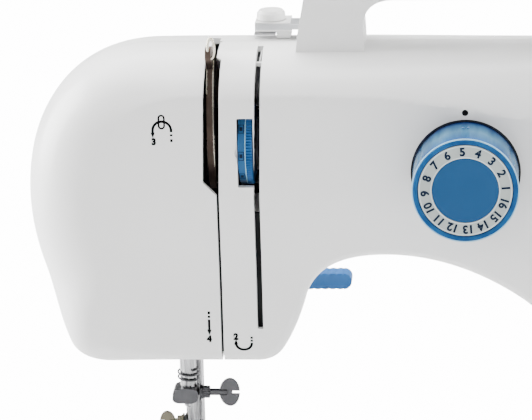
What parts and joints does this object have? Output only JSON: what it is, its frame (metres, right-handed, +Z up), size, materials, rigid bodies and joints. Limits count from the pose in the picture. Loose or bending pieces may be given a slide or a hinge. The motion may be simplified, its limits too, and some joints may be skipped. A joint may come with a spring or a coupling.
{
  "type": "sewing machine",
  "caption": "Compact household sewing machine with a free arm, slide-off extension table, front selector dial, slotted thread path, carrying handle and handwheel.",
  "frame": {"origin": "on the table, below the middle of the bounding box", "axes": "+X along the arm from the needle end to the handwheel, +Y from the user to the back, +Z up"},
  "size_m": [0.392, 0.17, 0.3079],
  "materials": {
    "white_shell": "smooth satin gloss moulding",
    "white_control": "gloss moulding",
    "blue_control": "translucent gloss moulding",
    "cap_blue": "flat matt inlay",
    "ring_grey": "matt printed ring",
    "black_plastic": "matt moulding",
    "clear_cover": "smoky moulding",
    "chrome": "polished plating",
    "steel": "turned and ground",
    "sheet_steel": "zinc-plated pressing",
    "casting": "as-cast",
    "belt_rubber": "moulded rubber",
    "foot_rubber": "matt rubber"
  },
  "bodies": {
    "machine": {"front_cover": "white_shell", "rear_cover": "white_shell", "base_housing": "white_shell", "base_plate": "sheet_steel", "rubber_foot_front_left": "foot_rubber", "rubber_foot_front_right": "foot_rubber", "rubber_foot_rear_left": "foot_rubber", "rubber_foot_rear_right": "foot_rubber", "free_arm": "white_shell", "needle_plate": "chrome", "main_frame": "casting", "motor": "sheet_steel", "tension_unit": "steel", "carrying_handle": "white_shell", "thread_guide_arm": "white_control", "pretension_cap": "white_control", "pretension_spring": "steel", "spool_pin_left": "white_control", "spool_pin_right": "white_control", "bobbin_winder_stop": "white_control", "mains_inlet": "black_plastic", "sewing_lamp": "clear_cover", "presser_spring": "steel", "motor_belt": "belt_rubber", "timing_belt": "belt_rubber", "bobbin_case": "black_plastic"},
    "end_door": {"face_cover": "white_shell"},
    "extension_table": {"accessory_tray": "white_shell"},
    "compartment_door": {"tray_door": "white_shell"},
    "hook_cover": {"bobbin_cover": "clear_cover"},
    "hook": {"rotary_hook": "steel"},
    "thread_bobbin": {"bobbin": "clear_cover"},
    "lower_drive": {"lower_shaft": "steel"},
    "upper_drive": {"main_shaft": "steel", "crank_disc": "casting", "drive_pulley": "black_plastic", "handwheel": "white_shell"},
    "clutch": {"clutch_knob": "white_control"},
    "motor_rotor": {"motor_pulley": "steel"},
    "needle_gate": {"needle_bar_frame": "casting"},
    "needle_holder": {"needle_bar": "chrome", "needle_clamp": "steel", "needle_bar_thread_guide": "steel", "needle_clamp_screw": "steel", "needle": "chrome"},
    "take_up": {"take_up_lever": "chrome"},
    "presser": {"presser_bar": "chrome", "presser_foot_holder": "steel", "foot_screw": "steel"},
    "foot": {"presser_foot": "chrome"},
    "lifter": {"presser_lifter": "blue_control"},
    "feed": {"feed_dog": "steel"},
    "tension_wheel": {"tension_dial": "blue_control"},
    "stitch_selector": {"pattern_dial": "blue_control", "pattern_number_ring": "ring_grey", "pattern_dial_cap": "cap_blue"},
    "length_selector": {"stitch_length_dial": "blue_control"},
    "reverse": {"reverse_lever": "blue_control"},
    "winder": {"bobbin_winder_spindle": "white_control"},
    "switch": {"power_switch": "black_plastic"}
  },
  "joints": [
    {"name": "handwheel_turn", "type": "hinge", "parent": "machine", "child": "upper_drive", "pos_m": [0.1, 0.025, 0.215], "axis": [1, 0, 0], "continuous": true},
    {"name": "clutch_turn", "type": "hinge", "parent": "upper_drive", "child": "clutch", "pos_m": [0.19, 0.025, 0.215], "axis": [1, 0, 0], "range_deg": [0, 90]},
    {"name": "motor_spin", "type": "hinge", "parent": "machine", "child": "motor_rotor", "pos_m": [0.14, 0.024, 0.118], "axis": [1, 0, 0], "continuous": true},
    {"name": "lower_shaft_turn", "type": "hinge", "parent": "machine", "child": "lower_drive", "pos_m": [0, 0.02, 0.043], "axis": [1, 0, 0], "continuous": true},
    {"name": "hook_spin", "type": "hinge", "parent": "machine", "child": "hook", "pos_m": [-0.1305, 0.0065, 0.05], "axis": [0, 0, 1], "continuous": true},
    {"name": "bobbin_spin", "type": "hinge", "parent": "machine", "child": "thread_bobbin", "pos_m": [-0.1305, 0.0065, 0.063], "axis": [0, 0, 1], "continuous": true},
    {"name": "needle_swing", "type": "hinge", "parent": "machine", "child": "needle_gate", "pos_m": [-0.1305, 0.05, 0.25], "axis": [0, 1, 0], "range_deg": [-0.8, 0.8]},
    {"name": "needle_stroke", "type": "slide", "parent": "needle_gate", "child": "needle_holder", "axis": [0, 0, 1], "range_m": [-0.03, 0]},
    {"name": "take_up_swing", "type": "hinge", "parent": "machine", "child": "take_up", "pos_m": [-0.1156, 0.06, 0.238], "axis": [1, 0, 0], "range_deg": [0, 48]},
    {"name": "presser_lift", "type": "hinge", "parent": "machine", "child": "lifter", "pos_m": [-0.1305, 0.07, 0.175], "axis": [0, -1, 0], "range_deg": [0, 60]},
    {"name": "presser_slide", "type": "slide", "parent": "machine", "child": "presser", "axis": [0, 0, 1], "range_m": [0, 0.0062], "deforming": ["presser_spring"]},
    {"name": "foot_tilt", "type": "hinge", "parent": "presser", "child": "foot", "pos_m": [-0.1305, 0.0332, 0.0786], "axis": [1, 0, 0], "range_deg": [-3, 3]},
    {"name": "feed_travel", "type": "slide", "parent": "machine", "child": "feed", "axis": [0, 1, 0], "range_m": [-0.002, 0.002]},
    {"name": "tension_turn", "type": "hinge", "parent": "machine", "child": "tension_wheel", "pos_m": [-0.1, 0.0096, 0.2328], "axis": [1, 0, 0], "range_deg": [-150, 150]},
    {"name": "pattern_turn", "type": "hinge", "parent": "machine", "child": "stitch_selector", "pos_m": [-0.009, -0.01, 0.224], "axis": [0, 1, 0], "continuous": true},
    {"name": "length_turn", "type": "hinge", "parent": "machine", "child": "length_selector", "pos_m": [0.092, -0.01, 0.212], "axis": [0, 1, 0], "range_deg": [0, 300]},
    {"name": "reverse_press", "type": "hinge", "parent": "machine", "child": "reverse", "pos_m": [0.092, 0.014, 0.152], "axis": [1, 0, 0], "range_deg": [0, 15], "stiffness_Nm_per_rad": 0.6, "springref_deg": -8.59},
    {"name": "winder_shift", "type": "slide", "parent": "machine", "child": "winder", "axis": [1, 0, 0], "range_m": [0, 0.005]},
    {"name": "hook_cover_lift", "type": "slide", "parent": "machine", "child": "hook_cover", "axis": [0, 0, 1], "range_m": [0, 0.03]},
    {"name": "table_slide", "type": "slide", "parent": "machine", "child": "extension_table", "axis": [-1, 0, 0], "range_m": [0, 0.24]},
    {"name": "compartment_open", "type": "hinge", "parent": "extension_table", "child": "compartment_door", "pos_m": [-0.08, -0.085, 0.02235], "axis": [1, 0, 0], "range_deg": [0, 90]},
    {"name": "end_door_swing", "type": "hinge", "parent": "machine", "child": "end_door", "pos_m": [-0.1965, 0.0302, 0.2], "axis": [0, 0, -1], "range_deg": [0, 80]},
    {"name": "switch_rock", "type": "hinge", "parent": "machine", "child": "switch", "pos_m": [0.18, 0.049, 0.034], "axis": [0, -1, 0], "range_deg": [0, 12]}
  ],
  "couplings": [
    {"joint": "motor_spin", "follows": "handwheel_turn", "ratio": 3.4286},
    {"joint": "lower_shaft_turn", "follows": "handwheel_turn", "ratio": 1},
    {"joint": "hook_spin", "follows": "handwheel_turn", "ratio": 2},
    {"joint": "take_up_swing", "follows": "needle_stroke", "rad_per_m": -27.63},
    {"joint": "presser_slide", "follows": "presser_lift", "m_per_rad": 0.00571}
  ]
}
